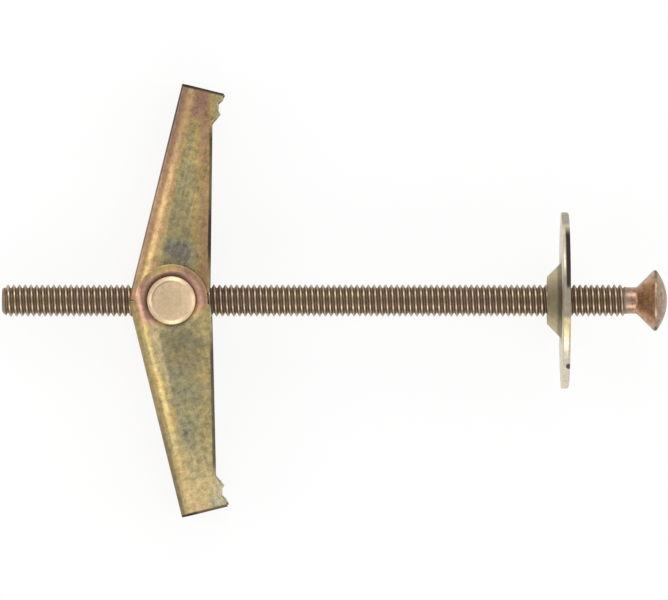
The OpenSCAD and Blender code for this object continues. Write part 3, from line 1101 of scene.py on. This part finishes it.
def wing_blank(wing, fold):
    """Loops of (point, share of the edge's rounding): the outline, then the two pivot holes."""
    half = [(fold.blank(*to_wing(x, y)), 1.0) for x, y in flange_outline(wing)]
    ear_end = half[-1][0].x - SHEET / 20
    steps = [fold.flange_t * (1 - step / WEB_STEPS) for step in range(WEB_STEPS)]
    half += [(Vector((t, fold.web_end(t))), SEAM_SHARE) for t in steps if t < ear_end]
    middle = (Vector((0, fold.web_end(0))), SEAM_SHARE)
    other = [(Vector((-point.x, point.y)), share) for point, share in reversed(half)]
    outline = half + [middle] + other
    hole = []
    for step in range(EAR_STEPS):
        angle = 2 * math.pi * step / EAR_STEPS
        place = to_wing(PIVOT_HOLE_R * math.cos(angle), PIVOT_HOLE_R * math.sin(angle))
        hole.append((fold.blank(*place), 1.0))
    other_hole = [(Vector((-point.x, point.y)), share) for point, share in reversed(hole)]
    return [outline[::-1], hole, other_hole]


print("blank:", len(flange_outline(INNER)), "points on the free edge of a flange")

# %% [markdown]
# ## Wings: rounding and folding
# A press tool rounds the edges that it cuts. That is easiest on the flat blank, where each loop
# only moves inwards as it nears either face. A Bevel modifier on the folded sheet would trip over
# the short edges where the ears run into the bends. The plate is then cut along its bend lines and
# every point moves to its place on the folded sheet. Last, the outer wing's ears are pressed in
# round the riveted ends.

# %% Rounding and folding
EDGE_R = 0.09
EDGE_STEPS = 3
SUPPORT_W = 0.05
DIMPLE_DEPTH = 0.2
DIMPLE_R = RIVET_R + 0.9
DIMPLE_GRID = 0.24
LINE_SNAP = 0.025


def edge_profile():
    """(inset, depth below the face) of a rounded edge, from a narrow flat rim to the cut wall."""
    angles = [math.pi / 2 * step / EDGE_STEPS for step in range(EDGE_STEPS + 1)]
    arc = [(EDGE_R * (1 - math.sin(a)), EDGE_R * (1 - math.cos(a))) for a in angles]
    return [(EDGE_R + SUPPORT_W, 0.0)] + arc


def inward(points):
    """For each point of a loop, the step that moves both of its edges inwards by 1."""
    steps = []
    for i, here in enumerate(points):
        before = (here - points[i - 1]).normalized()
        after = (points[(i + 1) % len(points)] - here).normalized()
        first = Vector((-before.y, before.x))
        second = Vector((-after.y, after.x))
        steps.append((first + second) / (1 + first.dot(second)))
    return steps


def rounded_plate(loops):
    """A flat sheet with rounded edges. Its outline runs counterclockwise and its holes clockwise."""
    bm = bmesh.new()
    profile = [(inset, depth, 1) for inset, depth in edge_profile()]
    profile += [(inset, depth, -1) for inset, depth, face in reversed(profile)]
    faces = ([], [])
    for loop in loops:
        steps = inward([point for point, share in loop])
        rings = []
        for inset, depth, face in profile:
            ring = []
            for (point, share), step in zip(loop, steps):
                place = point + step * inset * share
                ring.append(bm.verts.new((place.x, place.y, face * (SHEET / 2 - depth * share))))
            rings.append(ring)
        for first, second in zip(rings, rings[1:]):
            for k in range(len(loop)):
                bm.faces.new((first[k - 1], first[k], second[k], second[k - 1]))
        faces[0].append(rings[0])
        faces[1].append(rings[-1])
    for rims in faces:
        edges = [bm.edges.get((rim[k - 1], rim[k])) for rim in rims for k in range(len(rim))]
        bmesh.ops.triangle_fill(bm, edges=edges, use_beauty=True, use_dissolve=False, normal=(0, 0, 1))
    return bm


def cut_lines(bm, places, normal, chosen):
    """Cuts chosen faces along planes through the given places. Points near a plane count as on it."""
    for place in places:
        faces = [face for face in bm.faces if chosen(face.calc_center_median())]
        edges = {edge for face in faces for edge in face.edges}
        verts = {vert for face in faces for vert in face.verts}
        geometry = faces + list(edges) + list(verts)
        bmesh.ops.bisect_plane(bm, geom=geometry, dist=LINE_SNAP, plane_co=place, plane_no=normal)


def wing_turn(side):
    """Turns wing coordinates p, q and the pivot's direction into the bolt's frame."""
    out = Vector((-math.cos(LEAN), side * math.sin(LEAN), 0))
    tip = Vector((math.sin(LEAN), side * math.cos(LEAN), 0))
    return Matrix((out, tip, out.cross(tip))).transposed()


def folded_wing(name, wing):
    fold = Fold(wing["half_w"])
    bm = rounded_plate(wing_blank(wing, fold))
    bend_len = BEND_R * math.pi / 2
    bends = [fold.web_half + bend_len * step / BEND_STEPS for step in range(BEND_STEPS + 1)]
    places = [(side * t, 0, 0) for t in bends for side in (-1, 1)]
    cut_lines(bm, places, (1, 0, 0), lambda middle: True)
    turn = wing_turn(wing["side"])
    for vert in bm.verts:
        t, q, rise = vert.co
        p, r = fold.place(abs(t), rise)
        vert.co = turn @ Vector((p, q, math.copysign(r, t)))
    bmesh.ops.recalc_face_normals(bm, faces=bm.faces)
    return new_object(name, bm)


def press_dimples(made, wing):
    """Presses the outer faces of a wing's ears down to a shallow cone round the riveted ends."""
    bm = bmesh.new()
    bm.from_mesh(made.data)
    reach = DIMPLE_R + DIMPLE_GRID

    def outer_face(middle):
        return abs(middle.z) > wing["half_w"] - SHEET / 4

    def by_rivet(middle):
        return outer_face(middle) and max(abs(middle.x), abs(middle.y)) < reach

    count = round(reach / DIMPLE_GRID)
    lines = [DIMPLE_GRID * step for step in range(-count, count + 1)]
    axes = (Vector((1, 0, 0)), Vector((0, 1, 0)))
    for axis in axes:
        cut_lines(bm, [axis * -reach, axis * reach], axis, outer_face)
    for axis in axes:
        cut_lines(bm, [axis * line for line in lines], axis, by_rivet)
    for vert in bm.verts:
        rho = math.hypot(vert.co.x, vert.co.y)
        depth = DIMPLE_DEPTH * min(max((DIMPLE_R - rho) / (DIMPLE_R - RIVET_R), 0), 1)
        floor_z = wing["half_w"] - depth
        if depth > 0 and floor_z < abs(vert.co.z):
            vert.co.z = math.copysign(floor_z, vert.co.z)
    bm.to_mesh(made.data)
    bm.free()
    return made


# %% [markdown]
# ## Wings: their finish
# The inner wing is olive with a dull grey patch by its ear. Its bends are orange, its tip is brown
# and its open edge pink. The outer wing is olive-grey with gold bends and tip, and a pink ring round
# the rivet. Both also carry painted light: a dark painted reflection on the bend next to the web, a
# painted highlight that widens the bends near the pivot, painted shade that darkens the flats towards
# the pivot and dims the bends towards the tip, and painted shade lines along the open edge and the
# tip's end. The outer wing has a painted shadow at the upper left of the rivet. All of these follow
# the wing's own outline, so the material works in wing coordinates. The first table holds a value for
# the inner and one for the outer wing. The second says where a mark starts to show and where it is
# full, in millimetres.

# %% Wing finish
WING_FILMS = {
    "flange": (0.32, 0.20),
    "ear": (0.00, 0.26),
    "tip": (0.92, 0.54),
    "tip_start": (20.0, 15.0),
    "tip_matte": (0.0, 0.14),
    "edge": (0.72, 0.50),
    "bend": (0.66, 0.46),
    "pivot_bend": (0.61, 0.48),
    "bend_start": (2.5, 2.3),
    # strength of the painted highlight that widens the bends near the pivot
    "painted_highlight": (0.06, 0.30),
    # strength of the painted brown reflection on the bend
    "line": (0.5, 0.0),
    # where the painted dark reflection by the web starts and is full, and its strength below
    "painted_web_reflection": ((4.84, 5.00), (4.25, 4.9)),
    "painted_web_reflection_strength": (0.7, 0.55),
    # darkening of the flats towards the pivot, painted shade
    "near_shade": (0.38, 0.10),
    "far_dull": (0.16, 0.0),
    "ring": (0.0, 1.0),
    "bare": (0.0, 0.18),
    "patch": ((0.45, 5.75), (0.4, 5.5)),
    "patch_half": ((2.7, 1.7), (3.4, 5.0)),
    "patch_grime": (0.38, 0.64),
}
INNER_FILM = {name: values[0] for name, values in WING_FILMS.items()}
OUTER_FILM = {name: values[1] for name, values in WING_FILMS.items()}
WING_FADES = {
    "bend": (-0.3, 0.4),
    "bend_narrows": (2.0, 22.0),
    "bend_colour": (4.0, 12.0),
    "bend_shade": (10.0, 18.0),
    "ring": (4.9, 4.2),
    "ring_end": (3.2, 1.0),
    "ring_colour": (3.2, 4.3),
    "ring_outside": (3.4, 3.8),
    "shadow_crescent": (3.65, 3.1),
    "edge": (2.6, 0.3),
    "on_sheet": (-0.6, -0.1),
    "off_sheet": (1.0, -0.6),
    "edge_shade_line": (0.38, 0.12),
    "edge_shade_line_wall": (-0.5, -0.1),
    "edge_shade_line_start": (3.0, 8.0),
    "edge_shade_line_end": (23.0, 20.0),
    "tip_shade_line": (WING_LEN - 0.45, WING_LEN - 0.20),
    "line_start": (WEB_P - 0.34, WEB_P - 0.16),
    "line_end": (WEB_P + 0.14, WEB_P - 0.02),
    "painted_highlight_side": (3.6, 3.0),
    "painted_highlight_end": (16.0, 4.0),
    "near_shade": (14.0, 8.0),
    "far_dull": (17.0, 21.0),
}
TIP_FULL = WING_LEN - 1.0
BEND_START_AT_TIP = 3.1
# How far painted shade dims the bends at the tip.
BEND_SHADE = 0.16
RING_COLOURS = (0.92, 0.82)
RING_TOP_COLOUR = 0.48
MARK_STRENGTH = 0.8
UP_LEFT = Vector((-0.71, 0.71, 0.0))


def wing_film(wing, film):
    """Film of a wing in its own coordinates: flange, ear, edge, tip, bends and ring."""
    edge_slope = math.tan(math.radians(wing["edge_lean"]))
    web_half = Fold(wing["half_w"]).web_half
    shade_side = wing_turn(wing["side"]).transposed() @ UP_LEFT

    def describe(tree, place):
        p, q, r = axes_of(tree, place)

        def mixed(p_share, q_share):
            return total(tree, calc(tree, "MULTIPLY", p, p_share), calc(tree, "MULTIPLY", q, q_share))

        def fade(value, name, start=0.0, end=1.0):
            return ease(tree, value, *WING_FADES[name], start, end)

        def from_patch(value, axis):
            offset = calc(tree, "SUBTRACT", value, film["patch"][axis])
            return calc(tree, "DIVIDE", offset, film["patch_half"][axis])

        x = mixed(-math.cos(LEAN), math.sin(LEAN))
        y = mixed(math.sin(LEAN), math.cos(LEAN))
        inside = calc(tree, "SUBTRACT", calc(tree, "MULTIPLY_ADD", y, edge_slope, wing["edge"]), x)
        rho = radius_of(tree, p, q)
        shaded = calc(tree, "DIVIDE", mixed(shade_side.x, shade_side.y), rho)
        ragged = centred(tree, film_noise(tree, place, 0.9, 2.0), 1.4)
        patch_rho = radius_of(tree, from_patch(p, 0), from_patch(q, 1))
        patch = ease(tree, total(tree, patch_rho, ragged), 1.4, 0.0)
        bend_start = fade(q, "bend_narrows", film["bend_start"], BEND_START_AT_TIP)
        bend = fade(calc(tree, "SUBTRACT", p, bend_start), "bend")
        bend_film = fade(q, "bend_colour", film["pivot_bend"], film["bend"])
        ring = both(tree, fade(rho, "ring"), fade(q, "ring_end"), film["ring"])
        behind_pivot = ease(tree, calc(tree, "DIVIDE", q, rho), -0.75, -0.97)
        ring_top = both(tree, behind_pivot, fade(rho, "ring_outside"))
        ring_film = toward(tree, fade(rho, "ring_colour", *RING_COLOURS), RING_TOP_COLOUR, ring_top)
        off_ring = rest_of(tree, ring)
        edge = both(tree, fade(inside, "edge"), fade(inside, "on_sheet"), off_ring)
        tip = ease(tree, calc(tree, "MULTIPLY_ADD", ragged, 3.0, q), film["tip_start"], TIP_FULL)
        # Painted reflection: a brown band on the bend next to the web, where it mirrors the dark horizon.
        line = both(tree, fade(p, "line_start"), fade(p, "line_end"), film["line"])
        value = film["flange"]
        for target, share in (
            (film["ear"], patch),
            (film["edge"], edge),
            (film["tip"], tip),
            (film["flange"], fade(inside, "off_sheet")),
            (bend_film, bend),
            (ring_film, ring),
            (1.0, line),
        ):
            value = toward(tree, value, target, share)
        # Painted highlight: near the pivot the bend is mixed towards the pale colour, so it looks brighter
        # and wider.
        painted_highlight = both(tree, bend, fade(p, "painted_highlight_side"), fade(q, "painted_highlight_end"), off_ring, film["painted_highlight"])
        rubbed = both(tree, most(tree, tip, both(tree, edge, 0.3)), film["bare"])
        # Painted shade: a dark line along the open edge.
        edge_shade_line = both(
            tree,
            fade(inside, "edge_shade_line"),
            fade(inside, "edge_shade_line_wall"),
            fade(q, "edge_shade_line_start"),
            fade(q, "edge_shade_line_end"),
        )
        # Painted shade: a dark line along the tip's end.
        tip_shade_line = fade(q, "tip_shade_line")
        # Painted shadow: a dark half-moon at the upper left of the rivet, on the outer wing.
        shadow_crescent = both(tree, ease(tree, shaded, -0.1, 0.6), fade(rho, "shadow_crescent"), film["ring"], 0.8)
        on_bend = ease(tree, calc(tree, "ABSOLUTE", r), web_half - 0.3, web_half)
        # Painted reflection: a dark line on the bend's outermost part, next to the web.
        painted_web_reflection = both(tree, ease(tree, p, *film["painted_web_reflection"]), on_bend, film["painted_web_reflection_strength"])
        # The patch's own darkening together with the painted shade lines, shadow and reflection.
        marks_and_shade = most(tree, edge_shade_line, tip_shade_line, both(tree, patch, film["patch_grime"]), shadow_crescent, painted_web_reflection)
        flat = both(tree, off_ring, rest_of(tree, bend), rest_of(tree, patch))
        # Painted shade: the flats darken towards the pivot, and the bends' highlight dims towards the tip.
        grime = total(
            tree,
            both(tree, marks_and_shade, MARK_STRENGTH),
            both(tree, fade(q, "near_shade", 0.0, film["near_shade"]), flat),
            fade(q, "far_dull", 0.0, film["far_dull"]),
            both(tree, bend, fade(q, "bend_shade", 0.0, BEND_SHADE)),
        )
        return {
            "Film": value,
            "Patches": 0.26,
            "Patch Size": 3.0,
            "Specks": 0.60,
            "Bare": most(tree, rubbed, painted_highlight),
            "Grime": grime,
            "Roughness": total(tree, 0.34, both(tree, bend, 0.06), both(tree, tip, film["tip_matte"])),
        }

    return describe


def wing_piece(name, wing, film, body):
    turn = BOLT_TURN @ wing_turn(wing["side"])
    material = plated(body + "_chromate", turn, wing_film(wing, film))
    made = folded_wing(name, wing)
    if wing is OUTER:
        press_dimples(made, wing)
    seat(made, material)
    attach(made, body)
    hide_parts(body)
    return made


wing_piece("inner_wing_folded", INNER, INNER_FILM, "inner_wing")
wing_piece("outer_wing_folded", OUTER, OUTER_FILM, "outer_wing")

# %% [markdown]
# ## Torsion spring
# One wire makes the whole spring: a bridge that pushes on the inner wing's web, a coil round each
# half of the barrel, and two legs that push on the outer wing's web. When the wings fold, the
# bridge and the legs go with them and the coils wind up. So the wire is cut in the middle of each
# coil into a bridge and two legs.

# %% Spring
WIRE_D = 0.5
COIL_R = 3.9
COIL_Z = 2.30
COIL_RISE = 0.5602
COIL_SWEEP = 2 * math.pi + 2 * LEAN
LEG_LEN = 8.0
LEG_FLARE = 0.15
BRIDGE_R = 1.0
WIRE_SIDES = 12
COIL_STEPS = 40
LEG_STEPS = 8


def leg_point(side, along, z):
    turn = wing_turn(side)
    out = COIL_R + LEG_FLARE * (along / LEG_LEN) ** 2
    return turn.col[0] * out + turn.col[1] * along + Vector((0, 0, z))


def coil_point(share):
    angle = math.pi - LEAN + COIL_SWEEP * share
    return Vector((COIL_R * math.cos(angle), COIL_R * math.sin(angle), COIL_Z + COIL_RISE * share))


def bridge_path():
    """The bridge part, from the middle of one coil over the inner web to the middle of the other."""
    corner = [math.pi / 2 * step / LEG_STEPS for step in range(LEG_STEPS + 1)]
    path = [leg_point(1, LEG_LEN, 0)]
    for a in corner:
        along = LEG_LEN - BRIDGE_R * (1 - math.cos(a))
        path.append(leg_point(1, along, COIL_Z - BRIDGE_R * (1 - math.sin(a))))
    straight = LEG_LEN - BRIDGE_R
    path += [leg_point(1, straight * (1 - step / LEG_STEPS), COIL_Z) for step in range(1, LEG_STEPS)]
    path += [coil_point(0.5 * step / COIL_STEPS) for step in range(COIL_STEPS + 1)]
    mirrored = [Vector((point.x, point.y, -point.z)) for point in path[:0:-1]]
    return mirrored + path


def leg_path(face):
    """From the middle of a coil to the end of the leg on the outer web, on the face of sign face."""
    path = [coil_point(0.5 + 0.5 * step / COIL_STEPS) for step in range(COIL_STEPS + 1)]
    leg_z = COIL_Z + COIL_RISE
    path += [leg_point(-1, LEG_LEN * step / LEG_STEPS, leg_z) for step in range(1, LEG_STEPS + 1)]
    return [Vector((point.x, point.y, face * point.z)) for point in path]


def swept_wire(name, path):
    """A round wire along a path, with closed ends and no twist."""
    bm = bmesh.new()
    rings = []
    out = path[0] - Vector((0, 0, path[0].z))
    for i, point in enumerate(path):
        tangent = (path[min(i + 1, len(path) - 1)] - path[max(i - 1, 0)]).normalized()
        out = (out - tangent * out.dot(tangent)).normalized()
        across = tangent.cross(out)
        ring = []
        for k in range(WIRE_SIDES):
            angle = 2 * math.pi * k / WIRE_SIDES
            arm = WIRE_D / 2 * (math.cos(angle) * out + math.sin(angle) * across)
            ring.append(bm.verts.new(point + arm))
        rings.append(ring)
    for first, second in zip(rings, rings[1:]):
        for k in range(WIRE_SIDES):
            n = (k + 1) % WIRE_SIDES
            bm.faces.new((first[k], first[n], second[n], second[k]))
    bm.faces.new(rings[0][::-1])
    bm.faces.new(rings[-1])
    bmesh.ops.recalc_face_normals(bm, faces=bm.faces)
    return new_object(name, bm)


def wire_film(tree, place):
    return {
        "Film": 0.1,
        "Patches": 0.2,
        "Patch Size": 1.5,
        "Specks": 0.2,
        "Bare": 0.3,
        "Grime": 0.1,
        "Roughness": 0.3,
    }


wire_finish = plated("drawn_wire", BOLT_TURN, wire_film)
spring_parts = (
    ("spring_bridge", bridge_path(), "inner_wing"),
    ("spring_leg_front", leg_path(1), "outer_wing"),
    ("spring_leg_back", leg_path(-1), "outer_wing"),
)
for name, path, wing_body in spring_parts:
    wire = seat(swept_wire(name, path), wire_finish)
    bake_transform(wire)
    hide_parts("torsion_spring")
